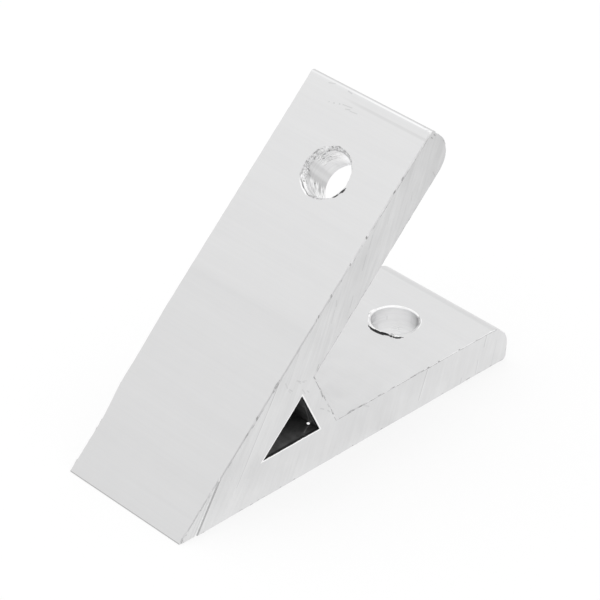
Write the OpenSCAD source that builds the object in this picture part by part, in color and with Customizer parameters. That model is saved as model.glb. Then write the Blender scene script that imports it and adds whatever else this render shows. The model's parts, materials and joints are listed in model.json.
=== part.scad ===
// Corner bracket for slotted profile: two equal legs at 45 degrees, sawn from one extruded section.
// Sizes are in millimetres. The origin is the middle of the base leg's bolt hole, on the face that
// seats against the profile. +Z points away from that face and +X points to the base leg's tip.

/* [Legs] */
// Length of each leg, from the corner to its tip
leg_length = 51.2; // [48:0.1:80]
// Thickness of each leg
leg_thick = 5; // [4:0.1:6.5]
// Width of the bracket between its two saw cuts
bracket_width = 18; // [12:0.5:30]
// Angle between the two outer faces
corner_angle = 45; // [40:1:60]
// Rounding of the edge where the two outer faces meet
corner_round = 0.2; // [0.05:0.05:0.8]

/* [Leg tips] */
// Rounding on the inner side of each tip
tip_inner_round = 3; // [0.5:0.1:4]
// Rounding on the outer side of each tip
tip_outer_round = 0.6; // [0.1:0.1:1.8]

/* [Web] */
// Distance from the corner to the web, along the middle line between the legs
web_start = 20.7; // [17:0.1:27]
// Thickness of the web
web_thick = 2.35; // [1.2:0.05:4]
// Lean of the web, in degrees from square to the middle line
web_lean = 4.2; // [-8:0.1:8]
// Fillet between the open side of the web and each leg
web_fillet = 1; // [0.2:0.1:3]

/* [Bolt holes] */
// Diameter of the hole in each leg
bore_dia = 5.5; // [4.2:0.1:9]
// Distance from the centre of each hole to its leg's tip
bore_to_tip = 9.4; // [7:0.1:14]

/* [Hidden] */
$fn = 96;
// Half of the corner angle, which is the direction of the middle line between the legs
half_angle = corner_angle / 2;
// Direction square to the web, seen from the base leg
web_dir = half_angle + web_lean;
// Distance from the corner to the open side of the web, square to the web
web_open = web_start * cos(web_lean) + web_thick;
// Distance from the corner to the centre of each hole
bore_from_corner = leg_length - bore_to_tip;
// How far a cutter runs past each face that it opens, and a fillet into what it joins
margin = 0.5;
// How far an arc runs past its tangent points, so that no sliver is left beside them
hair = 0.0005;

// The area between the two sides of a corner and the arc that touches both, and a margin past each
// side. The corner is at the origin with one side along +X. Taken away it rounds, added it fillets.
module corner_area(angle, radius) {
    reach = radius / tan(angle / 2);
    side = [cos(angle), sin(angle)];
    past_side = margin * [-sin(angle), cos(angle)];
    past_corner = -margin / sin(angle / 2) * [cos(angle / 2), sin(angle / 2)];
    difference() {
        polygon([past_corner, [reach, -margin], [reach, radius], reach * side + past_side]);
        translate([reach, radius]) circle(radius + hair);
    }
}

// One leg, flat on the X axis from the corner at the origin to its tip, cut to the other leg's
// outer face. The inner face is the upper one. web_side is the direction square to the web, seen
// from this leg.
module leg_section(web_side) {
    foot = (web_open - leg_thick * sin(web_side)) / cos(web_side);
    difference() {
        polygon([
            [0, 0],
            [leg_length, 0],
            [leg_length, leg_thick],
            [leg_thick / tan(corner_angle), leg_thick]
        ]);
        translate([leg_length, 0]) rotate(90) corner_area(90, tip_outer_round);
        translate([leg_length, leg_thick]) rotate(180) corner_area(90, tip_inner_round);
    }
    translate([foot, leg_thick]) corner_area(90 + web_side, web_fillet);
}

// The web, cut off in the middle of each leg's thickness
module web_section() {
    near = leg_thick / 2 / sin(half_angle);
    middle = [cos(half_angle), sin(half_angle)];
    intersection() {
        translate(web_start * middle) rotate(web_dir)
            translate([0, -leg_length]) square([web_thick, 2 * leg_length]);
        polygon([
            near * middle,
            near * middle + leg_length * [1, 0],
            near * middle + leg_length * [cos(corner_angle), sin(corner_angle)]
        ]);
    }
}

// The extruded section: two mirrored legs and the web, which closes a triangular window
module bracket_section() {
    difference() {
        union() {
            leg_section(web_dir);
            rotate(corner_angle) mirror([0, 1]) leg_section(corner_angle - web_dir);
            web_section();
        }
        corner_area(corner_angle, corner_round);
    }
}

// A cutter for one bolt hole, through a leg that lies on the X axis
module bore_cutter() {
    translate([bore_from_corner, 0, -margin]) cylinder(d = bore_dia, h = leg_thick + 2 * margin);
}

module bracket() {
    color("gainsboro")
    translate([-bore_from_corner, 0, 0])
    difference() {
        rotate([90, 0, 0]) linear_extrude(bracket_width, center = true) bracket_section();
        bore_cutter();
        rotate([0, -corner_angle, 0]) translate([0, 0, -leg_thick]) bore_cutter();
    }
}

bracket();
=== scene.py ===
import json
import math
import random

import bpy
from mathutils import Matrix, Vector, noise


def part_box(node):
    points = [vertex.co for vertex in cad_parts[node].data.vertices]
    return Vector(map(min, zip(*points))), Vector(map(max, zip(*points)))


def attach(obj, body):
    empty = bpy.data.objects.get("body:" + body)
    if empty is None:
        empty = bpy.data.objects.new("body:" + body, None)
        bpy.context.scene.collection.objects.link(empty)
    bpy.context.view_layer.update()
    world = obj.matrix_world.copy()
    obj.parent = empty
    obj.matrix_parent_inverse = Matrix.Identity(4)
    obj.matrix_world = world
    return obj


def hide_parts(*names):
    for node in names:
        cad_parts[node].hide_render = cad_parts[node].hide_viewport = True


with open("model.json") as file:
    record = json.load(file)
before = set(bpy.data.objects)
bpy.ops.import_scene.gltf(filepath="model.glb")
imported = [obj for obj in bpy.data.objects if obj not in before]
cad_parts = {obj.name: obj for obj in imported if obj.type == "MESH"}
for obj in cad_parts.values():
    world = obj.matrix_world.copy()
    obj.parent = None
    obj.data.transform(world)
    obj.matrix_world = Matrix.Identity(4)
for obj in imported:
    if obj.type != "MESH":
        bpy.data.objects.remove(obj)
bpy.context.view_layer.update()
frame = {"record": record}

# The bracket is modelled in millimetres with its sharp corner at the origin: x runs along the base
# leg, z out of its seat and y across the width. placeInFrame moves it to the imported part's place.
mm = 0.001
cadLow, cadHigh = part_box("bracket")
mounts = {mount["name"]: mount for mount in frame["record"]["mounts"]}
armAxis = Vector(mounts["arm_bore"]["axis"])
armMouth = Vector(mounts["arm_bore"]["pos_m"]) / mm
cornerTurn = math.atan2(armAxis.x, -armAxis.z)
cornerX = armMouth.dot(armAxis) / armAxis.x
legLength = cadHigh.x / mm - cornerX
legThick = mounts["base_bore"]["dims"]["length_mm"]
halfWidth = (cadHigh.y - cadLow.y) / mm / 2
boreRadius = mounts["base_bore"]["dims"]["r_mm"]
boreFromCorner = -cornerX

alongArm = Vector((math.cos(cornerTurn), 0, math.sin(cornerTurn)))
intoArm = Vector((math.sin(cornerTurn), 0, -math.cos(cornerTurn)))
intoBase = Vector((0, 0, 1))
hair = 0.001               # tells a point on a face from one beside it


# Small helpers for working by hand in edit mode

def makeActive(item):
    bpy.ops.object.select_all(action="DESELECT")
    item.select_set(True)
    bpy.context.view_layer.objects.active = item


def enterEdit():
    bpy.ops.object.mode_set(mode="EDIT")


def leaveEdit():
    bpy.ops.object.mode_set(mode="OBJECT")


def chooseAll():
    bpy.ops.mesh.select_all(action="SELECT")


def chooseNothing(item, kind):
    makeActive(item)
    enterEdit()
    bpy.ops.mesh.select_mode(type=kind)
    bpy.ops.mesh.reveal(select=False)
    bpy.ops.mesh.select_all(action="DESELECT")
    leaveEdit()


def chooseFaces(item, test):
    chooseNothing(item, "FACE")
    for face in item.data.polygons:
        face.select = test(face)
    enterEdit()


def cutAlong(point, normal, keepBelow=False):
    chooseAll()
    bpy.ops.mesh.bisect(plane_co=point, plane_no=normal, clear_outer=keepBelow, use_fill=keepBelow,
                        threshold=0.00001)


def sliceAway(item, point, normal):
    makeActive(item)
    enterEdit()
    cutAlong(point, normal, keepBelow=True)
    leaveEdit()


# Rounds the edge that runs across the width at this place of the section
def roundEdge(item, x, z, reach, steps, near=0.02):
    chooseNothing(item, "EDGE")
    for edge in item.data.edges:
        ends = [item.data.vertices[index].co for index in edge.vertices]
        edge.select = all(abs(end.x - x) < near and abs(end.z - z) < near for end in ends)
    enterEdit()
    bpy.ops.mesh.bevel(offset=reach, segments=steps, profile=0.5, affect="EDGES", clamp_overlap=False)
    leaveEdit()


def combine(item, tool, operation):
    makeActive(item)
    step = item.modifiers.new("Combine", "BOOLEAN")
    step.operation = operation
    step.solver = "EXACT"
    step.object = tool
    bpy.ops.object.modifier_apply(modifier=step.name)
    bpy.data.objects.remove(tool)


def applyPlace(item):
    makeActive(item)
    bpy.ops.object.transform_apply(location=True, rotation=True, scale=True)


def smoothStep(low, high, value):
    part = min(1, max(0, (value - low) / (high - low)))
    return part * part * (3 - 2 * part)


# Extruded section: two mirrored legs and the web that closes the triangular window

sectionSizes = {
    "tipInnerRound": 3.0,
    "tipInnerSteps": 20,
    "tipOuterRound": 0.6,
    "tipOuterSteps": 6,
    "cornerRound": 0.06,
    "cornerSteps": 4,
    "webStart": 20.7,      # from the corner, along the middle line between the legs
    "webThick": 2.35,
    "webLean": 4.2,        # degrees from square to the middle line
    "webFillet": 1.0,
    "filletSteps": 12,
    "spareWidth": 1.0,     # each bar is this much wider than the last until the saw cuts
    "weld": 0.0005,
    "flatAngle": 0.05,     # degrees, under which two faces are one
}
webLean = math.radians(sectionSizes["webLean"])
webTurn = cornerTurn / 2 + webLean
webInner = sectionSizes["webStart"] * math.cos(webLean)
webOuter = webInner + sectionSizes["webThick"]
squareToWeb = Vector((math.cos(webTurn), 0, math.sin(webTurn)))
upWeb = Vector((-math.sin(webTurn), 0, math.cos(webTurn)))


def addBar(name, size, middle, turn=0.0):
    bpy.ops.mesh.primitive_cube_add(size=1, location=middle, rotation=(0, turn, 0))
    bar = bpy.context.object
    bar.name = name
    bar.scale = size
    applyPlace(bar)
    return bar


def makeLeg(spare):
    values = sectionSizes
    leg = addBar("leg", (legLength, 2 * halfWidth + spare, legThick), (legLength / 2, 0, legThick / 2))
    sliceAway(leg, (0, 0, 0), -intoArm)
    roundEdge(leg, legLength, legThick, values["tipInnerRound"], values["tipInnerSteps"])
    roundEdge(leg, legLength, 0, values["tipOuterRound"], values["tipOuterSteps"])
    return leg


def makeArm(spare):
    arm = makeLeg(spare)
    arm.scale = (1, 1, -1)
    arm.rotation_euler = (0, -cornerTurn, 0)
    applyPlace(arm)
    chooseFaces(arm, lambda face: True)
    bpy.ops.mesh.normals_make_consistent(inside=False)
    leaveEdit()
    return arm


# How far up the web from a point the leg with this inward axis is met at this depth
def upWebTo(start, axis, depth):
    return (depth - start.dot(axis)) / upWeb.dot(axis)


def makeWeb(spare):
    middle = squareToWeb * (webOuter - sectionSizes["webThick"] / 2)
    low = upWebTo(middle, intoBase, legThick / 2)
    high = upWebTo(middle, intoArm, legThick / 2)
    size = (sectionSizes["webThick"], 2 * halfWidth + spare, high - low)
    return addBar("web", size, middle + upWeb * (low + high) / 2, -webTurn)


def filletWeb(body):
    start = squareToWeb * webOuter
    for axis, opening in ((intoBase, webTurn), (intoArm, cornerTurn - webTurn)):
        edge = start + upWeb * upWebTo(start, axis, legThick)
        reach = sectionSizes["webFillet"] / math.tan(math.pi / 4 + opening / 2)
        roundEdge(body, edge.x, edge.z, reach, sectionSizes["filletSteps"])


def makeSection():
    values = sectionSizes
    spare = values["spareWidth"]
    body = makeLeg(spare)
    combine(body, makeArm(2 * spare), "UNION")
    combine(body, makeWeb(3 * spare), "UNION")
    chooseFaces(body, lambda face: True)
    bpy.ops.mesh.remove_doubles(threshold=values["weld"])
    bpy.ops.mesh.dissolve_limited(angle_limit=math.radians(values["flatAngle"]))
    leaveEdit()
    filletWeb(body)
    for side in (-1, 1):
        sliceAway(body, (0, side * halfWidth, 0), (0, side, 0))
    return body


body = makeSection()
body.name = "bracketBody"
print("section made:", len(body.data.polygons), "faces")


# Helpers for materials

def addNode(tree, kind, **settings):
    node = tree.nodes.new(kind)
    for name, value in settings.items():
        setattr(node, name, value)
    return node


def feed(tree, target, source):
    if isinstance(source, bpy.types.NodeSocket):
        tree.links.new(source, target)
    else:
        target.default_value = source


def feedInTurn(tree, node, *values):
    for socket, value in zip(node.inputs, values):
        feed(tree, socket, value)
    return node.outputs


def feedByName(tree, node, **values):
    for name, value in values.items():
        feed(tree, node.inputs[name], value)
    return node.outputs


def maths(tree, operation, *values, clamp=False):
    node = addNode(tree, "ShaderNodeMath", operation=operation, use_clamp=clamp)
    return feedInTurn(tree, node, *values)[0]


def chain(tree, operation, first, *others):
    for value in others:
        first = maths(tree, operation, first, value)
    return first


def plus(tree, *values):
    return chain(tree, "ADD", *values)


def minus(tree, *values):
    return chain(tree, "SUBTRACT", *values)


def times(tree, *values):
    return chain(tree, "MULTIPLY", *values)


def vectorMaths(tree, operation, *values):
    outputs = feedInTurn(tree, addNode(tree, "ShaderNodeVectorMath", operation=operation), *values)
    return outputs["Value" if operation in ("DOT_PRODUCT", "DISTANCE") else "Vector"]


def joinParts(tree, *parts):
    return feedInTurn(tree, addNode(tree, "ShaderNodeCombineXYZ"), *parts)[0]


def partsOf(tree, place):
    return feedInTurn(tree, addNode(tree, "ShaderNodeSeparateXYZ"), place)


def ease(tree, value, low, high, start=0.0, end=1.0):
    node = addNode(tree, "ShaderNodeMapRange", interpolation_type="SMOOTHSTEP")
    return feedInTurn(tree, node, value, low, high, start, end)[0]


def blend(tree, mask, first, second):
    return ease(tree, mask, 0, 1, first, second)


def noiseAt(tree, place, scale, detail=2.0, roughness=0.5):
    node = addNode(tree, "ShaderNodeTexNoise")
    return feedByName(tree, node, Vector=place, Scale=scale, Detail=detail, Roughness=roughness)["Fac"]


# Node groups for the effects that several finishes use. Lines left by a tool run along the y axis of
# the place that a finish hands to toolLines.

def newGroup(name, **inputs):
    group = bpy.data.node_groups.new(name, "ShaderNodeTree")
    for label, value in inputs.items():
        kind = "NodeSocketVector" if isinstance(value, tuple) else "NodeSocketFloat"
        socket = group.interface.new_socket(name=label, in_out="INPUT", socket_type=kind)
        socket.default_value = value
    return group, addNode(group, "NodeGroupInput").outputs


def endGroup(group, **results):
    for label in results:
        group.interface.new_socket(name=label, in_out="OUTPUT", socket_type="NodeSocketFloat")
    feedByName(group, addNode(group, "NodeGroupOutput"), **results)
    return group


def makeToolLines():
    group, given = newGroup("toolLines", Place=(0, 0, 0), Fine=8.0, Broad=0.8, Length=0.03)
    drawn = vectorMaths(group, "MULTIPLY", given["Place"], joinParts(group, 1, given["Length"], 1))
    fine = noiseAt(group, drawn, given["Fine"], 3.0, 0.6)
    broad = noiseAt(group, drawn, given["Broad"])
    tone = plus(group, minus(group, broad, 0.5), times(group, minus(group, fine, 0.5), 1.2))
    return endGroup(group, Tone=tone, Height=fine)


def makeSpecks():
    group, given = newGroup("specks", Place=(0, 0, 0), Scale=1.0, Level=0.7)
    spots = noiseAt(group, given["Place"], given["Scale"], 2.0, 0.6)
    return endGroup(group, Mask=ease(group, spots, given["Level"], plus(group, given["Level"], 0.06)))


def makeScratch():
    group, given = newGroup("scratch", Place=(0, 0, 0), From=(0, 0, 0), To=(0, 0, 0), Width=0.1)
    line = vectorMaths(group, "SUBTRACT", given["To"], given["From"])
    offset = vectorMaths(group, "SUBTRACT", given["Place"], given["From"])
    part = maths(group, "DIVIDE", vectorMaths(group, "DOT_PRODUCT", offset, line),
                 vectorMaths(group, "DOT_PRODUCT", line, line), clamp=True)
    node = addNode(group, "ShaderNodeVectorMath", operation="SCALE")
    nearest = feedByName(group, node, Vector=line, Scale=part)["Vector"]
    away = vectorMaths(group, "DISTANCE", offset, nearest)
    return endGroup(group, Mask=ease(group, away, given["Width"], 0.0))


def makeBand():
    group, given = newGroup("band", Value=0.0, Low=0.0, High=1.0, Soft=0.1)
    rising = ease(group, given["Value"], minus(group, given["Low"], given["Soft"]), given["Low"])
    falling = ease(group, given["Value"], plus(group, given["High"], given["Soft"]), given["High"])
    return endGroup(group, Mask=times(group, rising, falling))


toolLines = makeToolLines()
specks = makeSpecks()
scratch = makeScratch()
band = makeBand()


def useGroup(tree, group, **inputs):
    return feedByName(tree, addNode(tree, "ShaderNodeGroup", node_tree=group), **inputs)


def bandMask(tree, value, low, high, soft, strength=1.0):
    return times(tree, useGroup(tree, band, Value=value, Low=low, High=high, Soft=soft)["Mask"], strength)


# Marks are given as from, to, width, strength. One material can hold some 45 of them and not 60.
def scratchMask(tree, place, marks):
    total = 0.0
    for start, end, width, strength in marks:
        mark = useGroup(tree, scratch, Place=place, From=(*start, 0)[:3], To=(*end, 0)[:3], Width=width)
        total = maths(tree, "MAXIMUM", times(tree, mark["Mask"], strength), total)
    return total


# Finishes

commonFinish = {
    "tint": (1.0, 1.0, 1.004),
    "darkShine": 0.2,      # specular level of what is not metal, such as the painted shade in the window and on burrs
}


def newMetal(name, roughness, metallic=1.0):
    paint = bpy.data.materials.new(name)
    paint.use_nodes = True
    shader = paint.node_tree.nodes["Principled BSDF"]
    shader.inputs["Metallic"].default_value = metallic
    shader.inputs["Roughness"].default_value = roughness
    if metallic == 0:
        shader.inputs["Specular IOR Level"].default_value = commonFinish["darkShine"]
    return paint, paint.node_tree, shader


def cornerPlace(tree):
    coordinates = addNode(tree, "ShaderNodeTexCoord").outputs["Object"]
    mapping = addNode(tree, "ShaderNodeMapping")
    return feedByName(tree, mapping, Vector=coordinates, Location=(-cornerX, 0, 0), Scale=(1 / mm,) * 3)[0]


def cutPlace(tree):
    return addNode(tree, "ShaderNodeAttribute", attribute_name="cutPlace").outputs["Vector"]


def armPlace(tree, place):
    return [vectorMaths(tree, "DOT_PRODUCT", place, axis) for axis in (alongArm, intoArm)]


def giveGrey(tree, shader, grey, tint=commonFinish["tint"], kind="Base Color"):
    shares = [times(tree, grey, share) for share in tint]
    mixed = feedInTurn(tree, addNode(tree, "ShaderNodeCombineColor"), *shares)[0]
    feed(tree, shader.inputs[kind], mixed)


def givePaintedGlow(tree, shader, mask, strength):
    giveGrey(tree, shader, mask, (1, 1, 1), "Emission Color")
    shader.inputs["Emission Strength"].default_value = strength


def giveBump(tree, shader, height, distance):
    bump = addNode(tree, "ShaderNodeBump")
    feed(tree, shader.inputs["Normal"], feedByName(tree, bump, Distance=distance * mm, Height=height)[0])


drawnFinish = {
    "plainGrey": 0.75,     # every drawn face but the arm's outer one
    "armGreys": (0.715, 0.735, 0.757, 0.785),      # painted light on that face: its grey at the corner, middle, past its step, tip
    "toneStep": 26.2,      # along the arm, where the painted light on its outer face steps a little lighter, for a slight change in its slope
    "cornerLine": 0.46,
    # painted shade on the grazing rim of the tip's rounding
    "tipRim": 0.68,
    "tipLine": (0.26, 0.40, 0.08),     # painted highlight along the tip's rounded edge: nearest to the tip, furthest from it, softness
    "tipLineGrey": 0.91,
    "dieLines": ((1.36, 1.46, 0.22, 1.0), (2.10, 2.15, 0.20, 0.25)),       # the same, and strength
    "dieGrey": 0.725,
    # painted shade: a darker band on the base's rounded tip
    "baseTip": (1.95, 2.55, 0.3),
    "baseTipGrey": 0.70875,
    "markDepth": 0.16,
    "streaks": 0.045,
    "mottle": 0.5,
    "roughness": (0.35, 0.45),
    "bump": 0.004,
}

# Scuffs near the arm's tip, by their place along the arm and across it
tipMarks = (
    ((50.50, 5.99), (50.72, 5.18), 0.12, 0.7), ((50.66, 3.14), (50.58, 2.56), 0.12, 0.9),
    ((48.66, 4.64), (48.70, 4.60), 0.12, 0.7), ((48.80, 3.99), (48.80, 3.93), 0.14, 1.0),
    ((48.98, 3.28), (48.98, 3.22), 0.14, 1.0), ((49.10, 2.82), (49.22, 1.54), 0.10, 0.8),
    ((48.80, 2.21), (48.93, 1.63), 0.10, 1.0), ((48.81, 1.54), (48.90, 0.55), 0.10, 0.8),
    ((50.75, -8.3), (50.86, -8.5), 0.12, 0.8), ((50.95, -7.7), (50.99, -7.9), 0.10, 0.7),
)


# Painted light along the arm's outer face: darker at the corner, lighter towards the tip
def armGrey(tree, along):
    corner, middle, upper, tip = drawnFinish["armGreys"]
    step = drawnFinish["toneStep"]
    return plus(tree, ease(tree, along, 0, 24, corner, middle),
                ease(tree, along, step - 0.6, step + 0.6, 0, upper - middle),
                ease(tree, along, 26, 50, 0, tip - upper))


def tipGrey(tree, grey, fromTip, wide):
    values = drawnFinish
    nearHalf = ease(tree, wide, 5, -1)
    for darkBand in values["dieLines"]:
        grey = blend(tree, times(tree, bandMask(tree, fromTip, *darkBand), nearHalf), grey, values["dieGrey"])
    # painted highlight along the tip's rounded edge, and painted shade at its very rim
    tipHighlightMask = times(tree, bandMask(tree, fromTip, *values["tipLine"]), ease(tree, wide, 5, -1, 0.5, 1))
    grey = blend(tree, tipHighlightMask, grey, values["tipLineGrey"])
    return ease(tree, fromTip, 0.24, 0.18, grey, values["tipRim"])


def makeDrawn():
    values = drawnFinish
    paint, tree, shader = newMetal("drawnAluminium", values["roughness"][0])
    place = cornerPlace(tree)
    along, across = armPlace(tree, place)
    x, wide, z = partsOf(tree, place)
    grey = tipGrey(tree, armGrey(tree, along), minus(tree, legLength, along), wide)
    grey = ease(tree, along, 0.22, 0.12, grey, values["cornerLine"])
    marks = scratchMask(tree, joinParts(tree, along, wide), tipMarks)
    grey = minus(tree, grey, times(tree, marks, values["markDepth"]))

    # painted shade on the base's rounded tip
    onBaseTipShade = bandMask(tree, minus(tree, legLength, x), *values["baseTip"])
    plain = blend(tree, onBaseTipShade, values["plainGrey"], values["baseTipGrey"])
    grey = blend(tree, ease(tree, across, 0.7, 0.62), plain, grey)

    lines = useGroup(tree, toolLines, Place=place, Fine=3.0, Broad=0.35, Length=0.02)
    mottle = noiseAt(tree, place, 0.45, 3.0, 0.6)
    tone = plus(tree, lines["Tone"], times(tree, minus(tree, mottle, 0.5), values["mottle"]))
    giveGrey(tree, shader, times(tree, grey, plus(tree, 1, times(tree, tone, values["streaks"]))))
    feed(tree, shader.inputs["Roughness"], ease(tree, mottle, 0.3, 0.7, *values["roughness"]))
    giveBump(tree, shader, lines["Height"], values["bump"])
    return paint


sawnFinish = {
    "grey": 0.76,
    "armGrey": 0.72,
    "streaks": 0.08,
    "armStreaks": 0.17,
    "patches": 0.02,
    "tipShade": 0.07,
    "scratchDark": 0.24,
    "scratchBright": 0.09,
    "brightSide": 0.13,        # how far beside a deep scratch its painted highlight lies
    "step": (2.26, 2.42, 0.06, 0.3),       # painted highlight on the bright side of the blade's step: from, to, softness, strength
    # painted shade at the foot of the step
    "stepFoot": (2.51, 2.58, 0.07, 0.34),
    "echoes": ((1.95, 2.02, 0.07, 0.11), (1.45, 1.52, 0.07, 0.07)),
    "roughness": 0.42,
    "bump": 0.012,
}

# Scratches on the near end, in the plane of the section. They are cut in and darkened in colour, partly a
# painted shade; the deep ones get a painted highlight beside them
deepScratches = (
    ((37.67, 4.64), (36.47, 1.12), 0.09, 1.0), ((47.56, 4.84), (47.19, 3.36), 0.09, 0.9),
    ((46.31, 1.98), (45.97, 0.2), 0.08, 0.7), ((43.58, 0.77), (43.49, 0.0), 0.1, 0.7),
    ((14.14, 13.95), (12.9, 11.75), 0.11, 1.0), ((12.9, 11.75), (10.6, 7.7), 0.09, 0.75),
    ((10.6, 7.7), (8.19, 3.39), 0.08, 0.75),
)
slightScratches = (
    ((49.39, 3.32), (48.66, 0.33), 0.08, 0.4), ((36.6, 30.81), (36.96, 30.17), 0.1, 0.6),
    ((27.62, 26.68), (27.11, 25.15), 0.1, 0.5), ((26.77, 24.55), (26.26, 22.88), 0.1, 0.6),
    ((22.47, 20.76), (22.43, 20.02), 0.1, 0.6), ((22.23, 19.6), (21.77, 18.15), 0.1, 0.5),
    ((24.98, 20.15), (24.59, 18.92), 0.1, 0.5), ((17.0, 16.4), (15.6, 13.2), 0.09, 0.4),
    ((15.6, 12.4), (15.9, 12.0), 0.12, 0.4), ((17.0, 13.0), (17.4, 12.5), 0.13, 0.5),
    ((17.8, 12.6), (18.3, 12.4), 0.12, 0.4), ((36.0, 35.3), (36.2, 35.1), 0.12, 1.5),
    ((36.4, 35.5), (36.6, 35.3), 0.12, 1.4), ((33.5, 29.6), (33.4, 28.6), 0.1, 0.4),
    ((30.1, 28.2), (29.8, 27.1), 0.1, 0.4), ((0.3, 0.1), (0.5, 0.35), 0.16, 2.0),
    ((1.0, 0.8), (1.05, 0.9), 0.12, 1.4), ((15.14, 13.52), (15.46, 12.78), 0.14, 0.45),
    ((15.76, 12.47), (16.16, 12.08), 0.14, 0.6), ((16.83, 13.10), (17.43, 12.70), 0.11, 0.7),
    ((17.68, 12.57), (17.98, 12.38), 0.12, 0.6), ((17.73, 11.54), (18.15, 10.79), 0.12, 0.5),
    ((18.43, 11.03), (18.73, 10.72), 0.12, 0.6), ((20.63, 9.95), (20.92, 9.1), 0.16, 2.0),
    ((21.10, 9.10), (21.35, 8.75), 0.14, 1.6), ((20.63, 7.67), (21.14, 7.34), 0.13, 0.7),
    ((21.76, 6.87), (22.07, 6.55), 0.14, 0.7), ((22.73, 6.17), (23.05, 5.84), 0.14, 0.6),
    ((27.21, 4.95), (28.29, 4.25), 0.16, 0.5), ((20.11, 13.64), (19.84, 13.09), 0.14, 0.9),
)
endScratches = deepScratches + slightScratches


def sawnMarks(tree, x, z, line, height):
    values = sawnFinish
    side = values["brightSide"]
    beside = joinParts(tree, minus(tree, x, side), plus(tree, z, side / 2))
    # painted highlight beside the deep scratches, and painted shade in all of them
    scratchHighlightMask = times(tree, scratchMask(tree, beside, deepScratches), values["scratchBright"])
    scratchShadeMask = times(tree, scratchMask(tree, joinParts(tree, x, z), endScratches), values["scratchDark"])
    low = ease(tree, height, 9, 7)
    # painted highlight beside the blade's step, and painted shade at its foot
    step = times(tree, bandMask(tree, line, *values["step"]), low)
    footShade = times(tree, bandMask(tree, line, *values["stepFoot"]), low)
    echoes = [bandMask(tree, line, *echo) for echo in values["echoes"]]
    return minus(tree, plus(tree, scratchHighlightMask, step), scratchShadeMask, footShade, *echoes)


def makeSawn():
    values = sawnFinish
    paint, tree, shader = newMetal("sawnAluminium", values["roughness"])
    place = cornerPlace(tree)
    saw = cutPlace(tree)
    along, across = armPlace(tree, place)
    x, wide, z = partsOf(tree, place)
    line, height, side = partsOf(tree, saw)
    onArm = times(tree, ease(tree, along, 14, 34), ease(tree, across, 7, 5))
    lines = useGroup(tree, toolLines, Place=saw, Fine=2.2, Broad=0.55, Length=0.10)
    streaks = times(tree, lines["Tone"], blend(tree, onArm, values["streaks"], values["armStreaks"]))
    patches = ease(tree, noiseAt(tree, place, 0.28), 0.3, 0.7, -values["patches"], values["patches"])
    shade = ease(tree, along, 42, 50, 0, -values["tipShade"])
    marks = times(tree, sawnMarks(tree, x, z, line, height), ease(tree, wide, -7, -8))
    grey = blend(tree, onArm, values["grey"], values["armGrey"])
    giveGrey(tree, shader, times(tree, grey, plus(tree, 1, streaks, patches, shade, marks)))
    giveBump(tree, shader, lines["Height"], values["bump"])
    return paint


# Worn edge strip, its brightness partly a painted highlight: lighter than the faces beside it, and lighter
# towards the arm's tip
edgeFinish = {"low": 0.80, "high": 0.97, "fleck": 0.6, "roughness": 0.35}


def makeWornEdgeAndHighlight():
    values = edgeFinish
    paint, tree, shader = newMetal("wornEdge", values["roughness"])
    place = cornerPlace(tree)
    flecks = useGroup(tree, specks, Place=place, Scale=1.7, Level=0.64)["Mask"]
    grey = ease(tree, armPlace(tree, place)[0], 24, 40, values["low"], values["high"])
    giveGrey(tree, shader, blend(tree, flecks, grey, values["fleck"]))
    return paint


# Roughness, metallic, tint, the mottling's scale, detail and roughness, its reach, darkest and lightest grey
mottledFinishes = {
    # burr: bright burrs, their whiteness partly a painted highlight
    "burr": (0.35, 0.85, (1, 1, 1), (4.0, 2.0, 0.5), (0.30, 0.42), (0.86, 1.0)),
    # groove: darker metal, painted shade in grooves, nicks and along the inner strip
    "groove": (0.45, 1.0, commonFinish["tint"], (1.6, 3.0, 0.7), (0.35, 0.62), (0.36, 0.66)),
    # burrBack: near black, painted shade on the outer side of the raised lip
    "burrBack": (0.5, 0.0, commonFinish["tint"], (1.2, 3.0, 0.6), (0.30, 0.70), (0.0126, 0.0234)),
    # burrSide: dark, painted shade on the flank of a burr
    "burrSide": (0.5, 0.0, commonFinish["tint"], (1.2, 3.0, 0.6), (0.30, 0.70), (0.0525, 0.0975)),
}


def makeMottled(name):
    roughness, metallic, tint, grain, reach, greys = mottledFinishes[name]
    paint, tree, shader = newMetal(name, roughness, metallic)
    mottle = noiseAt(tree, cornerPlace(tree), *grain)
    giveGrey(tree, shader, ease(tree, mottle, *reach, *greys), tint)
    return paint


drilledFinish = {
    "grey": 0.90,
    "streaks": 0.03,
    "drillPitch": 0.34,
    "drillSlant": 0.28,
    "scarStrength": 0.42,
    "roughness": 0.36,
    "bump": 0.015,
}
tornFinish = {
    "greys": (0.70, 0.98),
    "crackGrey": 0.476,
    "scarGrey": 0.34,
    "lighterSide": (10, 60),       # painted light: angle and half width of the side painted lighter, as if it caught more light
    "lighterBy": 1.1,
    "roughness": 0.4,
    "bump": 0.06,
}

# Painted light and shade on the sides of each bore, lighter or darker as the light falls there: angle, change
# of level there
upperShadedSides = (
    (-30, 0.10), (10, 0.10), (30, 0.10), (45, 0.09), (60, 0.02), (77, -0.13), (82, -0.24), (88, -0.24),
    (93, -0.19), (99, -0.22), (104, -0.33), (112, -0.34), (121, -0.18), (134, -0.08), (144, 0.04), (160, 0.0),
)
lowerShadedSides = (
    (-50, -0.46), (-28, -0.44), (-22, -0.32), (-15, -0.20), (-6, -0.11), (-1, -0.10), (2, -0.03), (12, 0.0),
    (35, 0.02), (60, 0.03), (80, 0.03), (90, 0.0), (105, -0.08), (117, -0.18), (130, -0.22), (150, -0.1),
)

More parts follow.
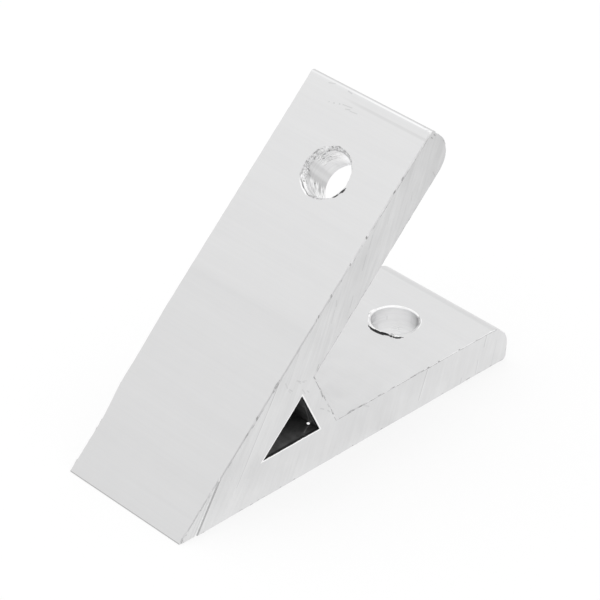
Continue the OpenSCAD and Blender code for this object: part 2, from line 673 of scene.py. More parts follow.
# Each bore's marks: the slanting lines that the drill left, the chatter and a darker patch, each with its
# middle angle, half width, highest place, lowest place, strength and softness. A scar goes from an angle
# and depth to another, with width and strength.
upperMarks = {
    "lines": (42, 36, -0.75, -2.7, 0.50, 0.3),
    "chatter": (142, 32, -1.7, -4.4, 0.45, 0.6),
    "patch": (136, 42, -0.5, -1.3, -0.04, 0.5),
    "scars": (
        (36, 0.78, 34, 0.52, 0.16, 1.0), (38, 0.66, 56, 1.0, 0.16, 0.7), (70, 0.50, 76, 0.62, 0.14, 0.6),
        (88, 0.20, 95, 0.28, 0.13, 0.6), (101, 0.60, 103, 0.98, 0.11, 1.0), (131, 0.60, 135, 0.85, 0.14, 0.5),
        (128, 0.28, 130, 0.14, 0.10, 0.9), (53, 0.09, 66, 0.07, 0.10, 0.9), (44, 1.62, 40, 1.72, 0.10, 0.4),
        (24.6, 0.26, 23.5, 0.1, 0.10, 1.0), (58, 1.40, 62, 1.62, 0.10, 0.35),
        (121, 2.4, 120, 2.75, 0.10, 0.6), (110, 0.9, 112, 1.4, 0.14, 0.35),
    ),
    "fade": (0.0, 0.0),     # painted light and shade: change of level at the foot and at the top
    "glow": (12, 48, -4.2, 0.15),   # painted light: the wall glows a little, standing in for light from below the arm: angle, half width, deepest place, strength
    "sidesEnd": -12.0,      # how deep the painted light and shade of the sides reach
}
lowerMarks = {
    "lines": (36, 16, -2.7, -3.2, 0.08, 0.3),
    "chatter": (108, 20, -0.3, -1.8, 0.05, 0.6),
    "patch": (94, 12, -2.2, -3.4, -0.10, 0.5),
    "scars": (
        (61, 1.25, 61, 1.72, 0.08, 0.4), (31, 2.9, 32, 3.08, 0.07, 0.4), (36, 2.98, 44, 3.02, 0.07, 0.4),
    ),
    # painted light: lighter near the mouth, darker at the foot
    "fade": (-0.05, 0.08),
    "glow": None,
    "sidesEnd": -2.6,
}


def paintedSideLight(tree, sides):
    across, up, depth = partsOf(tree, cutPlace(tree))
    turn = maths(tree, "ARCTAN2", up, across)
    ramp = addNode(tree, "ShaderNodeValToRGB")
    feed(tree, ramp.inputs[0], plus(tree, maths(tree, "DIVIDE", turn, 2 * math.pi), 0.5))
    stops = ramp.color_ramp.elements
    while len(stops) > 1:
        stops.remove(stops[0])
    stops[0].position = 0
    stops[0].color = (0.5, 0.5, 0.5, 1)
    for degrees, change in (*sides, (179.9, 0.0)):
        stop = stops.new(0.5 + degrees / 360)
        stop.color = (0.5 + change,) * 3 + (1,)
    return minus(tree, ramp.outputs["Color"], 0.5)


def boreNoise(tree, along, around, *grain):
    across, up, depth = partsOf(tree, cutPlace(tree))
    place = joinParts(tree, times(tree, depth, along), times(tree, across, around), times(tree, up, around))
    return noiseAt(tree, place, *grain)


def boreSide(tree, degrees, spread):
    turn = math.radians(degrees)
    side = Vector((math.cos(turn), math.sin(turn), 0)) / boreRadius
    facing = vectorMaths(tree, "DOT_PRODUCT", cutPlace(tree), side)
    return ease(tree, facing, math.cos(math.radians(spread)), math.cos(math.radians(spread / 3)))


def markMask(tree, mark):
    degrees, spread, high, low, strength, soft = mark
    depth = partsOf(tree, cutPlace(tree))[2]
    return times(tree, boreSide(tree, degrees, spread), bandMask(tree, depth, low, high, soft, strength))


def onBore(degrees, depth):
    turn = math.radians(degrees)
    return boreRadius * math.cos(turn), boreRadius * math.sin(turn), -depth


def scarMask(tree, scars):
    marks = [(onBore(*scar[0:2]), onBore(*scar[2:4]), *scar[4:]) for scar in scars]
    return scratchMask(tree, cutPlace(tree), marks)


def drillLines(tree, mark):
    across, up, depth = partsOf(tree, cutPlace(tree))
    slant = plus(tree, times(tree, depth, 1 / drilledFinish["drillPitch"]),
                 times(tree, across, drilledFinish["drillSlant"]))
    waver = ease(tree, boreNoise(tree, 1.6, 1.6, 1.0), 0.3, 0.7, -0.5, 0.5)
    wave = maths(tree, "SINE", times(tree, plus(tree, slant, waver), 2 * math.pi))
    broken = ease(tree, boreNoise(tree, 1.8, 1.8, 1.0, 2.0, 0.6), 0.32, 0.5)
    return times(tree, wave, broken, markMask(tree, mark))


def chatterStrokes(tree, mark):
    strokes = ease(tree, boreNoise(tree, 3.6, 0.5, 1.0, 2.0, 0.6), 0.42, 0.56, -1, 1)
    return times(tree, strokes, markMask(tree, mark))


def makeDrilled(name, sides, marks):
    values = drilledFinish
    paint, tree, shader = newMetal(name, values["roughness"])
    depth = partsOf(tree, cutPlace(tree))[2]
    fine = ease(tree, boreNoise(tree, 3.5, 0.35, 1.0, 3.0, 0.6), 0.3, 0.7, -1, 1)
    fade = ease(tree, depth, -2.6, -0.4, *marks["fade"])
    # painted light and shade round the bore
    sideLightAndShade = times(tree, paintedSideLight(tree, sides),
                     ease(tree, depth, marks["sidesEnd"], marks["sidesEnd"] + 1.2))
    lines = drillLines(tree, marks["lines"])
    strokes = chatterStrokes(tree, marks["chatter"])
    tone = plus(tree, 1, times(tree, fine, values["streaks"]), fade, sideLightAndShade, lines,
                markMask(tree, marks["patch"]), strokes)
    tone = minus(tree, tone, times(tree, scarMask(tree, marks["scars"]), values["scarStrength"]))
    giveGrey(tree, shader, times(tree, tone, values["grey"]))
    # painted light: this side of the upper bore glows
    if marks["glow"]:
        degrees, spread, deep, strength = marks["glow"]
        glow = times(tree, boreSide(tree, degrees, spread), ease(tree, depth, deep, deep + 1.4))
        givePaintedGlow(tree, shader, glow, strength)
    giveBump(tree, shader, plus(tree, times(tree, fine, 0.15), lines, strokes), values["bump"])
    return paint


def makeTorn():
    values = tornFinish
    paint, tree, shader = newMetal("tornAluminium", values["roughness"])
    tears = boreNoise(tree, 5.2, 3.0, 1.4, 3.0, 0.65)
    chips = ease(tree, boreNoise(tree, 3.4, 3.0, 1.8, 2.0, 0.6), 0.42, 0.5)
    cracks = ease(tree, maths(tree, "ABSOLUTE", minus(tree, tears, 0.46)), 0.03, 0.005)
    grey = ease(tree, tears, 0.36, 0.56, *values["greys"])
    grey = blend(tree, times(tree, cracks, chips), grey, values["crackGrey"])
    grey = blend(tree, scarMask(tree, upperMarks["scars"]), grey, values["scarGrey"])
    paintedLit = times(tree, grey, values["lighterBy"])
    giveGrey(tree, shader, blend(tree, boreSide(tree, *values["lighterSide"]), grey, paintedLit))
    giveBump(tree, shader, tears, values["bump"])
    return paint


# Painted shade: the window's inside is painted near black, a little lighter towards the corner's side, for
# the shade deep inside it
windowShadeFinish = {
    "greys": (0.18, 0.085),        # painted shade: grey at the corner's side and at the web
    "spots": 0.07,
    "scratches": (((20.3, -7.8), (18.9, -8.5), 0.14, 0.14),),      # seen from above
    "webSpots": (((11.3, -8.2), (11.25, -7.9), 0.22, 0.16), ((8.3, -8.3), (8.1, -8.0), 0.22, 0.08)),
    # painted glint: a small spot painted near white and made to glow, standing in for a highlight
    "glint": (((20.36, -7.66), (20.40, -7.60), 0.27, 1.0),),
    "glintHeight": (5.12, 5.04),
    "glintLevel": 0.9,
    "mouth": (8.7, 8.95),          # where the painted shade darkens further towards both ends
    "mouthShare": 0.3,
    "roughness": 0.6,
}


def makeWindowShade():
    values = windowShadeFinish
    paint, tree, shader = newMetal("windowLining", values["roughness"], 0.0)
    place = cornerPlace(tree)
    x, wide, z = partsOf(tree, place)
    mottle = ease(tree, noiseAt(tree, place, 0.9, 3.0, 0.6), 0.3, 0.7, 0.75, 1.25)
    spots = useGroup(tree, specks, Place=place, Scale=1.1, Level=0.66)["Mask"]
    fromAbove = joinParts(tree, x, wide)
    lines = scratchMask(tree, fromAbove, values["scratches"])
    webSpots = scratchMask(tree, joinParts(tree, z, wide), values["webSpots"])
    grey = plus(tree, times(tree, ease(tree, x, 12, 20.6, *values["greys"]), mottle),
                times(tree, spots, values["spots"]), lines, times(tree, webSpots, ease(tree, x, 15.5, 16.5)))
    mouth = ease(tree, maths(tree, "ABSOLUTE", wide), *values["mouth"], 1, values["mouthShare"])
    # painted glint, painted near white and glowing
    glint = times(tree, scratchMask(tree, fromAbove, values["glint"]), ease(tree, z, *values["glintHeight"]))
    giveGrey(tree, shader, ease(tree, glint, 0.2, 0.5, times(tree, grey, mouth), values["glintLevel"]))
    givePaintedGlow(tree, shader, ease(tree, glint, 0.2, 0.5), values["glintLevel"])
    return paint


finishes = {
    "drawn": makeDrawn(),
    "sawn": makeSawn(),
    "edge": makeWornEdgeAndHighlight(),
    "burr": makeMottled("burr"),
    "groove": makeMottled("groove"),
    "upperBore": makeDrilled("drilledUpper", upperShadedSides, upperMarks),
    "lowerBore": makeDrilled("drilledLower", lowerShadedSides, lowerMarks),
    "torn": makeTorn(),
    "burrBack": makeMottled("burrBack"),
    "burrSide": makeMottled("burrSide"),
    "window": makeWindowShade(),
}
finishNumber = {name: number for number, name in enumerate(finishes)}
print("finishes made:", len(finishes))


def addFinishes(item):
    for finish in finishes.values():
        item.data.materials.append(finish)


# Bolt holes: a round pocket is cut through each leg now, and lined with the drilled bore later

holeSizes = {
    "pocketRadius": 4.2,
    "sides": 192,
    "flatRings": 16,       # between the pocket and the mouth
    "mouthRings": 14,
    "wallRings": 66,
    "exitRings": 4,
    "exitEdge": 0.08,
    "weld": 0.03,
}
holePlaces = (
    (Vector((boreFromCorner, 0, legThick)), intoBase),
    (alongArm * boreFromCorner, -intoArm),
)


def cutPocket(body, mouthPlace, axis):
    turn = axis.to_track_quat("Z", "Y").to_euler()
    bpy.ops.mesh.primitive_cylinder_add(vertices=holeSizes["sides"], radius=holeSizes["pocketRadius"],
                                        depth=3 * legThick, location=mouthPlace, rotation=turn)
    combine(body, bpy.context.object, "DIFFERENCE")


def isPocketWall(face):
    reach = holeSizes["pocketRadius"]
    for mouthPlace, axis in holePlaces:
        offset = face.center - mouthPlace
        away = (offset - axis * offset.dot(axis)).length
        if abs(face.normal.dot(axis)) < 0.01 and reach * 0.98 < away < reach * 1.01:
            return True
    return False


for mouthPlace, axis in holePlaces:
    cutPocket(body, mouthPlace, axis)
print("pockets cut:", len(body.data.polygons), "faces")


# Saw cuts: both ends of the section carry the lines of the blade, which fan out from the corner

sawSizes = {
    "seed": 21,
    "lineGap": (0.10, 0.24),
    "slopeAtCorner": 0.57,     # how far a line runs along the leg for each millimetre that it rises
    "slopeAtMiddle": 0.38,
    "slopeLoss": 0.0035,
    "lineSpread": 0.0035,      # how much the depth of the lines differs
    "deepShare": 0.08,         # one line in so many is deeper, by this much
    "deepBy": (0.010, 0.022),
    "edgeInset": 0.09,         # worn edge, measured on the sawn end
    "burrInset": 0.08,         # second strip inside it, painted in places as a dark line of shade
    "edgeDrop": 0.015,         # worn edge, measured on the extruded face beside it
    "armEdgeDrop": 0.13,
    "nickShare": 0.6,
    "scratchDepth": 0.03,
    "crossCuts": (0.3, 1.1, 2.0, 3.0, 4.0, 4.7),
    "stepLine": 2.49,          # the blade cut a little deeper on the corner's side of this line
    "stepSides": (-0.02, 0.02, 0.1),
    "stepDepth": 0.11,
    "nearBulge": 0.33,         # the near cut leans out a little towards the corner
    "nearLean": (0.0062, 0.0040),
    "farCutBack": (0.50, 0.18),    # the far cut stands back at the corner, in two steps
    "farSteps": ((1.9, 3.7), (4.2, 6.6)),
}


def slopeAt(line):
    values = sawSizes
    part = smoothStep(7, 15, line)
    slope = values["slopeAtCorner"] + (values["slopeAtMiddle"] - values["slopeAtCorner"]) * part
    return slope - values["slopeLoss"] * max(0, line - 20)


def lineThrough(x, z):
    line = x
    for attempt in range(12):
        line = x - slopeAt(line) * z
    return line


def sawLines():
    values = sawSizes
    chance = random.Random(values["seed"])
    fixed = [values["stepLine"] + side for side in values["stepSides"]]
    lines = list(fixed)
    line = -0.2
    while line < legLength + 0.1:
        if min(abs(line - other) for other in fixed) > 0.05:
            lines.append(line)
        line += chance.uniform(*values["lineGap"])
    return sorted(lines)


def isEnd(face):
    return abs(face.normal.y) > 0.99 and abs(face.center.y) > halfWidth - 1


def insetEnds(body, thickness, finish):
    chooseFaces(body, lambda face: face.material_index == finishNumber["sawn"])
    bpy.ops.mesh.inset(thickness=thickness, depth=0, use_even_offset=True)
    leaveEdit()
    for face in body.data.polygons:
        if face.material_index == finishNumber["sawn"] and not face.select:
            face.material_index = finishNumber[finish]


def cutEnds(body, lines):
    values = sawSizes
    for face in body.data.polygons:
        face.material_index = finishNumber["sawn" if isEnd(face) else "drawn"]
    insetEnds(body, values["edgeInset"], "edge")
    insetEnds(body, values["burrInset"], "groove")
    roundEdge(body, 0, 0, sectionSizes["cornerRound"] / math.tan(cornerTurn / 2), sectionSizes["cornerSteps"])
    chooseFaces(body, isEnd)
    bpy.ops.mesh.hide(unselected=True)
    for line in lines:
        cutAlong((line, 0, 0), (1, 0, -slopeAt(line)))
    for height in values["crossCuts"]:
        cutAlong(intoBase * height, intoBase)
        cutAlong(intoArm * height, intoArm)
    bpy.ops.mesh.reveal(select=False)
    leaveEdit()


# Nicks along the outline of the near end: how far along the edge, how wide, how deep
nicks = {
    "armOuter": (
        (49.26, 0.4, 0.08), (47.6, 0.3, 0.075), (46.77, 0.3, 0.08), (45.1, 0.3, 0.075), (43.4, 0.3, 0.08),
        (42.03, 0.4, 0.08), (40.96, 0.3, 0.075), (39.68, 0.4, 0.075),
        (37.87, 0.5, 0.11), (36.9, 0.4, 0.08), (35.19, 0.5, 0.10), (34.49, 0.4, 0.08), (30.6, 0.45, 0.12),
        (28.1, 0.35, 0.10), (27.7, 0.3, 0.08), (20.93, 0.4, 0.075), (20.15, 0.4, 0.08), (19.4, 1.3, 0.18),
        (15.5, 1.0, 0.18), (14.83, 0.4, 0.10), (13.51, 0.5, 0.10),
    ),
    "armInner": ((32.1, 0.8, 0.12), (30.0, 1.8, 0.10), (25.2, 0.6, 0.1)),
    "baseInner": ((25.64, 0.9, 0.12), (39.56, 0.5, 0.1), (43.0, 0.9, 0.08), (49.18, 0.7, 0.12)),
    "baseOuter": ((44.8, 1.1, 0.14), (46.5, 0.8, 0.12), (25.9, 0.6, 0.08), (12.0, 0.7, 0.08)),
}
nickShows = 0.07           # a strip gets painted shade where a nick is deeper than this


# Names the side of the section that a point lies by
def sideOf(x, z, near=0.25):
    point = Vector((x, 0, z))
    along = point.dot(alongArm)
    across = point.dot(intoArm)
    fromWeb = x * math.cos(webTurn) + z * math.sin(webTurn) - webInner
    pastWeb = fromWeb - sectionSizes["webThick"]
    if fromWeb < near and z > legThick - near and across > legThick - near:
        return "window"
    if along > legLength - 0.4 or x > legLength - 0.4:
        return "tip"
    if abs(across) < near:
        return "armOuter"
    if abs(z) < near:
        return "baseOuter"
    if abs(across - legThick) < near and pastWeb > 0:
        return "armInner"
    if abs(z - legThick) < near and pastWeb > 0:
        return "baseInner"
    return "web" if abs(pastWeb) < 0.3 else "tip"


def nickAt(x, z):
    side = sideOf(x, z)
    along = x if side in ("baseInner", "baseOuter") else Vector((x, 0, z)).dot(alongArm)
    depth = 0
    for middle, width, deep in nicks.get(side, ()):
        depth = max(depth, deep * math.exp(-((along - middle) / (width * 0.4)) ** 2))
    return depth


# Where the inner strip is painted as a dark line of shade: the noise above which it is
def shadedAbove(side, place):
    if side == "armOuter":
        along = place.dot(alongArm)
        return 0.30 + (1 - smoothStep(6, 9, along)) - 0.40 * smoothStep(30, 42, along)
    if side == "baseInner":
        return -0.45
    if side == "web":
        return -0.3 if place.z > 10.2 or 8.3 < place.z < 9.7 else -0.10
    return 0.42


def outerStripFinish(side, place, broken):
    near = place.y < 0
    if side == "armInner":
        return "groove" if broken > -0.1 else "sawn"
    if side == "tip":
        return "edge" if broken > 0.1 else "sawn"
    if side == "web":
        return "groove" if near and broken > 0 else "sawn"
    if side == "baseInner" and near and place.x < 38 and broken > 0.18:
        return "groove"
    if side in ("armOuter", "baseInner"):
        return "edge"
    return "groove" if broken > 0.42 else "sawn"


def stripFinish(strip, place):
    side = sideOf(place.x, place.z)
    broken = noise.noise(Vector((place.x * 1.1, place.z * 1.1, place.y + 11 * strip)))
    # the window's rim gets the bright finish: a painted highlight round its edges
    if side == "window":
        return "burr"
    # painted shade in the nicks
    if place.y < 0 and nickAt(place.x, place.z) > nickShows:
        return "groove"
    if strip == 1:
        return outerStripFinish(side, place, broken)
    return "groove" if broken > shadedAbove(side, place) else "sawn"


def scratchAt(x, z):
    point = Vector((x, z))
    depth = 0
    for start, end, width, strength in endScratches:
        line = Vector(end) - Vector(start)
        offset = point - Vector(start)
        part = min(1, max(0, offset.dot(line) / line.length_squared))
        away = (offset - line * part).length
        depth = max(depth, sawSizes["scratchDepth"] * strength * (1 - smoothStep(0.02, width * 1.4, away)))
    return depth


def lineDepths(lines, seed):
    values = sawSizes
    chance = random.Random(seed)
    depths = []
    for line in lines:
        depth = chance.gauss(0, values["lineSpread"]) + 0.008 * noise.noise(Vector((line * 0.6, seed, 0)))
        if chance.random() < values["deepShare"]:
            depth += chance.uniform(*values["deepBy"])
        depths.append(depth)
    return depths


def cutDepth(x, z, side, line):
    values = sawSizes
    depth = 0.008
    if side > 0:
        for back, (first, last) in zip(values["farCutBack"], values["farSteps"]):
            depth += back * (1 - smoothStep(first, last, line))
        return depth
    depth -= max(0, values["nearBulge"] - values["nearLean"][0] * x - values["nearLean"][1] * z)
    if line < values["stepLine"]:
        depth += values["stepDepth"]
    return depth + scratchAt(x, z)


def edgeDepth(x, z, side):
    values = sawSizes
    chip = noise.noise(Vector((x * 1.9, z * 1.9, side * 7 + 20)))
    drop = values["armEdgeDrop"] if sideOf(x, z) == "armOuter" else values["edgeDrop"]
    depth = drop * (0.8 + 0.5 * noise.noise(Vector((x * 0.8, z * 0.8, side * 9))))
    depth += 0.2 * max(0, chip - 0.3)
    if side < 0:
        depth += values["nickShare"] * nickAt(x, z)
    return depth


def wearEnds(body, lines):
    mesh = body.data
    worn = set()
    beside = set()
    for face in mesh.polygons:
        (worn if isEnd(face) else beside).update(face.vertices)
    depths = {-1: lineDepths(lines, sawSizes["seed"]), 1: lineDepths(lines, sawSizes["seed"] + 1)}
    place = mesh.attributes.new("cutPlace", "FLOAT_VECTOR", "POINT")
    for index in worn:
        point = mesh.vertices[index].co
        x, z = point.x, point.z
        side = 1 if point.y > 0 else -1
        line = lineThrough(x, z)
        place.data[index].vector = (line, z * math.hypot(1, slopeAt(line)), side * 5)
        nearest = min(range(len(lines)), key=lambda number: abs(lines[number] - line))
        waver = 1 + 0.9 * noise.noise(Vector((line, z * 0.35, side * 3)))
        depth = cutDepth(x, z, side, line) + depths[side][nearest] * waver
        if index in beside:
            depth += edgeDepth(x, z, side)
        point.y = side * (halfWidth - depth)


addFinishes(body)
lines = sawLines()
cutEnds(body, lines)
wearEnds(body, lines)
stripNumbers = {finishNumber["edge"]: 1, finishNumber["groove"]: 2}
for face in body.data.polygons:
    middle = face.center
    if face.material_index in stripNumbers:
        face.material_index = finishNumber[stripFinish(stripNumbers[face.material_index], middle)]
    # the window's inside gets the painted shade
    if abs(middle.y) < halfWidth - 1 and sideOf(middle.x, middle.z) == "window":
        face.material_index = finishNumber["window"]
print("ends sawn:", len(lines), "lines,", len(body.data.polygons), "faces")


# Bore linings: ring by ring from the pocket over the mouth, down the wall and out

# Ridges round a mouth: first and last angle, radius at each, half width, rise, finish. Angles turn
# from the leg's tip towards the far side.
upperMouth = {
    "radius": 3.11,        # torn edge on the arm's outer face
    "depth": 0.70,         # where the torn mouth meets the bore
    "ragged": 0.05,
    "rough": 0.06,
    "wider": (114, 24, 0.09),      # angle, half sweep and how much further out the tear goes
    "finish": "torn",
    "wall": "upperBore",
    "marks": upperMarks,
    "shelf": (124, 182, 2.765, 3.07),      # first and last angle, inner and outer radius
    "shelfHeight": (-0.42, 2.9, 1.05),     # height at a radius, and the slope up to the outside
    "ridges": (
        (126, 172, 3.17, 3.19, 0.075, 0.02, "burr"), (124, 178, 3.085, 3.085, 0.02, 0.0, "groove"),
        (192, 214, 2.88, 2.86, 0.07, 0.0, "burr"),
        (-130, -114, 3.21, 3.25, 0.09, 0.06, "burrSide"), (-114, -98, 3.25, 3.32, 0.15, 0.10, "burrSide"),
        (-172, -162, 2.98, 3.02, 0.07, 0.0, "groove"), (-160, -151, 3.03, 3.05, 0.06, 0.0, "groove"),
        (53, 66, 3.04, 3.05, 0.035, 0.0, "groove"), (20, 25, 2.99, 2.99, 0.07, 0.0, "groove"),
        (-4, 10, 3.06, 3.14, 0.07, 0.0, "groove"), (-30, -5, 3.11, 2.99, 0.04, 0.0, "groove"),
        (-47, -36, 3.12, 3.18, 0.03, 0.0, "groove"), (112, 124, 3.22, 3.12, 0.05, 0.0, "groove"),
        (86, 92, 3.08, 3.10, 0.05, 0.0, "groove"), (129, 134, 2.93, 2.93, 0.05, 0.0, "groove"),
    ),
}
lowerMouth = {
    "radius": 2.96,        # foot of the raised lip on the base's inner face
    "depth": 0.07,
    "ragged": 0.015,
    "finish": "lowerBore",
    "wall": "lowerBore",
    "marks": lowerMarks,
    "shelf": None,
    "ridges": (
        (-29, 107, 2.915, 2.93, 0.095, 0.04, "burr"), (87, 110, 2.93, 3.12, 0.20, 0.05, "burr"),
        (115, 127, 3.00, 2.97, 0.12, 0.06, "burr"), (129, 152, 2.98, 3.02, 0.06, 0.04, "burr"),
        (105, 115, 3.05, 3.2, 0.035, 0.0, "groove"), (-68, -30, 2.85, 2.85, 0.11, 0.0, "groove"),
        (-78, -34, 3.05, 3.03, 0.045, 0.03, "burr"),
        (152, 215, 2.95, 2.98, 0.13, 0.09, "burr"), (156, 211, 3.25, 3.27, 0.21, 0.0, "burrBack"),
        (178, 216, 3.34, 3.10, 0.24, 0.0, "burrBack"),
        (208, 226, 3.14, 3.50, 0.15, 0.0, "burrBack"), (216, 240, 3.46, 3.62, 0.20, 0.0, "burrBack"),
        (209, 227, 2.96, 3.20, 0.15, 0.25, "burr"), (217, 235, 3.24, 3.34, 0.13, 0.15, "burr"),
        (-104, -82, 3.14, 2.98, 0.03, 0.0, "groove"),
    ),
}


def ridgeAt(mouth, degrees, radius):
    rise = 0
    finish = None
    for first, last, startRadius, endRadius, width, height, name in mouth["ridges"]:
        sweep = last - first
        past = (degrees - first) % 360
        if past > sweep:
            continue
        soft = sweep * 0.45 if name == "burrBack" else min(sweep * 0.4, 8)
        fade = smoothStep(0, soft, past) * (1 - smoothStep(sweep - soft, sweep, past))
        middle = startRadius + (endRadius - startRadius) * past / sweep
        away = abs(radius - middle) / (width * (0.25 + 0.75 * fade))
        if away < 1:
            rise += height * fade * (1 - away * away)
            finish = name
    return rise, finish


def shelfShare(mouth, degrees, radius):
    if mouth["shelf"] is None:
        return 0
    first, last, inner, outer = mouth["shelf"]
    past = (degrees - first) % 360
    if past > last - first or not inner < radius < outer:
        return 0
    return smoothStep(0, 8, past) * (1 - smoothStep(last - first - 14, last - first, past))


# Radius and height of each ring
def holeProfile(mouth):
    values = holeSizes
    pocket = values["pocketRadius"]
    wallStart = -mouth["depth"]
    wallEnd = -legThick + values["exitEdge"]
    exitRadius = boreRadius + values["exitEdge"]
    rings = []
    for ring in range(values["flatRings"] + 1):
        part = 1 - (1 - ring / values["flatRings"]) ** 2
        rings.append((pocket + (mouth["radius"] - pocket) * part, 0.0))
    for ring in range(1, values["mouthRings"] + 1):
        part = ring / values["mouthRings"]
        rings.append((mouth["radius"] + (boreRadius - mouth["radius"]) * part, -mouth["depth"] * part))
    for ring in range(1, values["wallRings"] + 1):
        rings.append((boreRadius, wallStart + (wallEnd - wallStart) * ring / values["wallRings"]))
    rings.append((boreRadius + values["exitEdge"] / 2, -legThick + values["exitEdge"] / 3))
    for ring in range(values["exitRings"] + 1):
        part = (ring / values["exitRings"]) ** 1.5
        rings.append((exitRadius + (pocket - exitRadius) * part, -legThick))
    return rings


def liningFinish(mouth, middle):
    if middle.z < -legThick + hair:
        return "drawn"
    if middle.z <= -mouth["depth"]:
        return mouth["wall"]
    radius = math.hypot(middle.x, middle.y)
    degrees = math.degrees(math.atan2(middle.y, middle.x))
    rise, finish = ridgeAt(mouth, degrees, radius)
    if finish:
        return finish
    if shelfShare(mouth, degrees, radius) > 0.2:
        return "burr"
    return "drawn" if middle.z > -hair else mouth["finish"]


def within(sweep, angle):
    middle, half = sweep[:2]
    away = abs((math.degrees(angle) - middle + 180) % 360 - 180)
    return 1 - smoothStep(0, half, away)


def drillMark(marks, angle, depth):
    turn = angle / (2 * math.pi)
    helix = (depth / drilledFinish["drillPitch"] + turn) * 2 * math.pi
    spot = Vector((math.cos(angle) * 2, math.sin(angle) * 2, depth * 1.5 + 3))
    strength = 0.001
    for kind in ("lines", "chatter"):
        high, low = marks[kind][2:4]
        reach = smoothStep(low - 0.5, low, depth) * (1 - smoothStep(high, high + 0.3, depth))
        strength += 0.010 * within(marks[kind], angle) * reach
    return strength * math.sin(helix) * (0.4 + noise.noise(spot)) + 0.004 * noise.noise(spot * 1.7)


def shapeUpper(mouth, angle, radius, height):
    ring = Vector((math.cos(angle), math.sin(angle), 0))
    degrees = math.degrees(angle)
    rise, finish = ridgeAt(mouth, degrees, radius)
    shelf = shelfShare(mouth, degrees, radius)
    ragged = mouth["ragged"] * (math.cos(angle + 1.4) + 1.4 * noise.noise(ring * 4 + Vector((0, 0, 5))))
    ragged += mouth["wider"][2] * within(mouth["wider"], angle)
    near = 1 - smoothStep(mouth["radius"], mouth["radius"] + 0.5, radius)
    inner = smoothStep(-mouth["depth"], -mouth["depth"] * 0.4, height)
    spot = Vector((ring.x * 3.2, ring.y * 3.2, height * 5 + radius * 4))
    rough = 0
    if height < -hair and finish != "burr" and shelf == 0:
        rough = mouth["rough"] * (noise.noise(spot * 2.3) + 0.6 * noise.noise(spot * 5.1)) * (0.3 + inner)
    radius += ragged * near * inner + rough
    if shelf:
        level, middle, slope = mouth["shelfHeight"]
        height += (level + slope * (radius - middle) - height) * shelf
    return radius, height + rise


def shapeLower(mouth, angle, radius, height):
    ring = Vector((math.cos(angle), math.sin(angle), 0))
    rise, finish = ridgeAt(mouth, math.degrees(angle), radius)
    uneven = 1 + 0.35 * noise.noise(ring * 4)
    radius += mouth["ragged"] * noise.noise(ring * 6) * (rise > 0)
    return radius, height + rise * uneven


def shapeLining(lining, mouth, shapeMouth, pocket):
    place = lining.data.attributes.new("cutPlace", "FLOAT_VECTOR", "POINT")
    for point, spot in zip(lining.data.vertices, place.data):
        radius = math.hypot(point.co.x, point.co.y)
        height = point.co.z
        angle = math.atan2(point.co.y, point.co.x)
        spot.vector = (math.cos(angle) * boreRadius, math.sin(angle) * boreRadius, height)
        if radius > pocket - hair:
            continue
        if height >= -mouth["depth"] - hair:
            radius, height = shapeMouth(mouth, angle, radius, height)
        elif height > -legThick + 0.1:
            radius += drillMark(mouth["marks"], angle, height)
        point.co = (radius * math.cos(angle), radius * math.sin(angle), height)


def makeLining(name, mouth, shapeMouth):
    rings = holeProfile(mouth)
    bpy.ops.mesh.primitive_circle_add(vertices=holeSizes["sides"], radius=rings[0][0], fill_type="NOTHING")
    lining = bpy.context.object
    lining.name = name
    enterEdit()
    chooseAll()
    for before, after in zip(rings, rings[1:]):
        bpy.ops.mesh.extrude_edges_move(TRANSFORM_OT_translate={"value": (0, 0, after[1] - before[1])})
        scale = after[0] / before[0]
        bpy.ops.transform.resize(value=(scale, scale, 1), center_override=(0, 0, after[1]))
    leaveEdit()
    addFinishes(lining)
    for face in lining.data.polygons:
        face.material_index = finishNumber[liningFinish(mouth, face.center)]
    shapeLining(lining, mouth, shapeMouth, rings[0][0])
    return lining


def fitLining(lining, mouthPlace, alongX, alongZ):
    turn = Matrix((alongX, alongZ.cross(alongX), alongZ)).transposed().to_4x4()
    lining.matrix_world = Matrix.Translation(mouthPlace) @ turn
    applyPlace(lining)


def joinLinings(body, linings):
    chooseFaces(body, isPocketWall)
    bpy.ops.mesh.delete(type="FACE")
    leaveEdit()
    makeActive(body)
    for lining in linings:
        lining.select_set(True)
    bpy.ops.object.join()
    chooseNothing(body, "VERT")
    enterEdit()
    bpy.ops.mesh.select_non_manifold()
    bpy.ops.mesh.remove_doubles(threshold=holeSizes["weld"])
    leaveEdit()


lowerLining = makeLining("lowerLining", lowerMouth, shapeLower)
fitLining(lowerLining, holePlaces[0][0], Vector((1, 0, 0)), holePlaces[0][1])
upperLining = makeLining("upperLining", upperMouth, shapeUpper)
fitLining(upperLining, holePlaces[1][0], alongArm, holePlaces[1][1])
joinLinings(body, (lowerLining, upperLining))
print("holes lined:", len(body.data.polygons), "faces")


def placeInFrame(body):
    body.location = (cornerX, 0, 0)
    applyPlace(body)
    body.scale = (mm, mm, mm)
    applyPlace(body)


# Smooth all round but for the large plain faces, which keep one even tone up to their edges
def smoothFaces(body, sharpAngle=25, mostPoints=8, largest=4 * mm * mm):
    makeActive(body)
    bpy.ops.object.shade_smooth_by_angle(angle=math.radians(sharpAngle))
    for face in body.data.polygons:
        plain = len(face.vertices) > mostPoints or face.area > largest
        if plain or face.material_index == finishNumber["edge"]:
            face.use_smooth = False


placeInFrame(body)
smoothFaces(body)
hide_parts("bracket")
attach(body, "root")


# Studio: pale floor, soft light all round and the camera at the photograph's angle

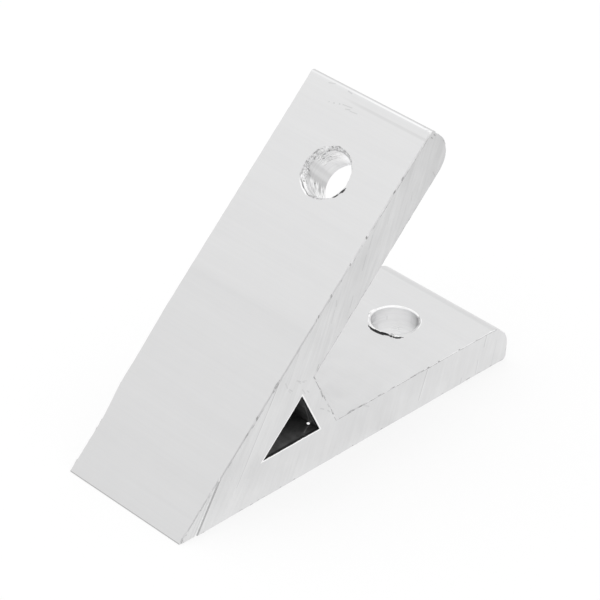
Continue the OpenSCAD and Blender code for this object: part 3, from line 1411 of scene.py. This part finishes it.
studio = {
    "cameraPlace": (-0.21031, -0.190016, 0.194824),
    "cameraTurn": (56.473, -1.661, -44.608),
    "lens": 179.644,
    "sensor": 36,
    "floorSize": 6.0,
    "floorDrop": 0.00002,
    "floorGrey": 0.8,
    "floorGlow": 0.70,
    "floorRoughness": 0.9,
    "tentLevel": 1.0,
    "openLevel": 0.6,                  # the tent is open, and so darker, on the camera's side
    "openSide": (-0.55, -0.80, 0.22),
    "openFrom": 0.70,
    "openTo": 0.93,
}
softbox = {"towards": (0.02, 0.05, 1.0), "distance": 0.75, "size": 0.35, "energy": 0.4}


def makeFloor():
    values = studio
    bpy.ops.mesh.primitive_plane_add(size=values["floorSize"], location=(0, 0, -values["floorDrop"]))
    floor = bpy.context.object
    floor.name = "floor"
    paper, tree, lit = newMetal("floorPaper", values["floorRoughness"], 0.0)
    lit.inputs["Specular IOR Level"].default_value = 0
    rays = addNode(tree, "ShaderNodeLightPath").outputs
    shown = maths(tree, "MAXIMUM", rays["Is Camera Ray"], rays["Is Transmission Ray"])
    giveGrey(tree, lit, blend(tree, shown, values["floorGrey"], 1.0), (1, 1, 1))
    glow = addNode(tree, "ShaderNodeEmission").outputs[0]
    share = maths(tree, "MAXIMUM", times(tree, shown, values["floorGlow"]), rays["Is Glossy Ray"])
    mixed = feedInTurn(tree, addNode(tree, "ShaderNodeMixShader"), share, lit.outputs[0], glow)[0]
    feed(tree, tree.nodes["Material Output"].inputs["Surface"], mixed)
    floor.data.materials.append(paper)


def makeCamera():
    camera = bpy.data.objects.new("camera", bpy.data.cameras.new("camera"))
    bpy.context.scene.collection.objects.link(camera)
    camera.location = studio["cameraPlace"]
    camera.rotation_euler = [math.radians(turn) for turn in studio["cameraTurn"]]
    camera.data.lens = studio["lens"]
    camera.data.sensor_width = studio["sensor"]
    camera.data.clip_start = 0.01
    bpy.context.scene.camera = camera


def makeTent():
    values = studio
    world = bpy.data.worlds.new("studioWorld")
    bpy.context.scene.world = world
    world.use_nodes = True
    tree = world.node_tree
    towards = addNode(tree, "ShaderNodeTexCoord").outputs["Generated"]
    facing = vectorMaths(tree, "DOT_PRODUCT", towards, Vector(values["openSide"]).normalized())
    tent = ease(tree, facing, values["openFrom"], values["openTo"], values["tentLevel"], values["openLevel"])
    rays = addNode(tree, "ShaderNodeLightPath").outputs
    level = maths(tree, "MAXIMUM", tent, rays["Is Camera Ray"])
    feedByName(tree, tree.nodes["Background"], Color=(1, 1, 1, 1), Strength=level)


def makeSoftbox():
    light = bpy.data.lights.new("topSoftbox", "AREA")
    light.size = softbox["size"]
    light.energy = softbox["energy"]
    holder = bpy.data.objects.new("topSoftbox", light)
    bpy.context.scene.collection.objects.link(holder)
    holder.location = Vector(softbox["towards"]).normalized() * softbox["distance"]
    holder.rotation_euler = (-holder.location).to_track_quat("-Z", "Y").to_euler()


makeFloor()
makeCamera()
makeTent()
makeSoftbox()
bpy.context.scene.view_settings.view_transform = "Standard"
print("studio set")
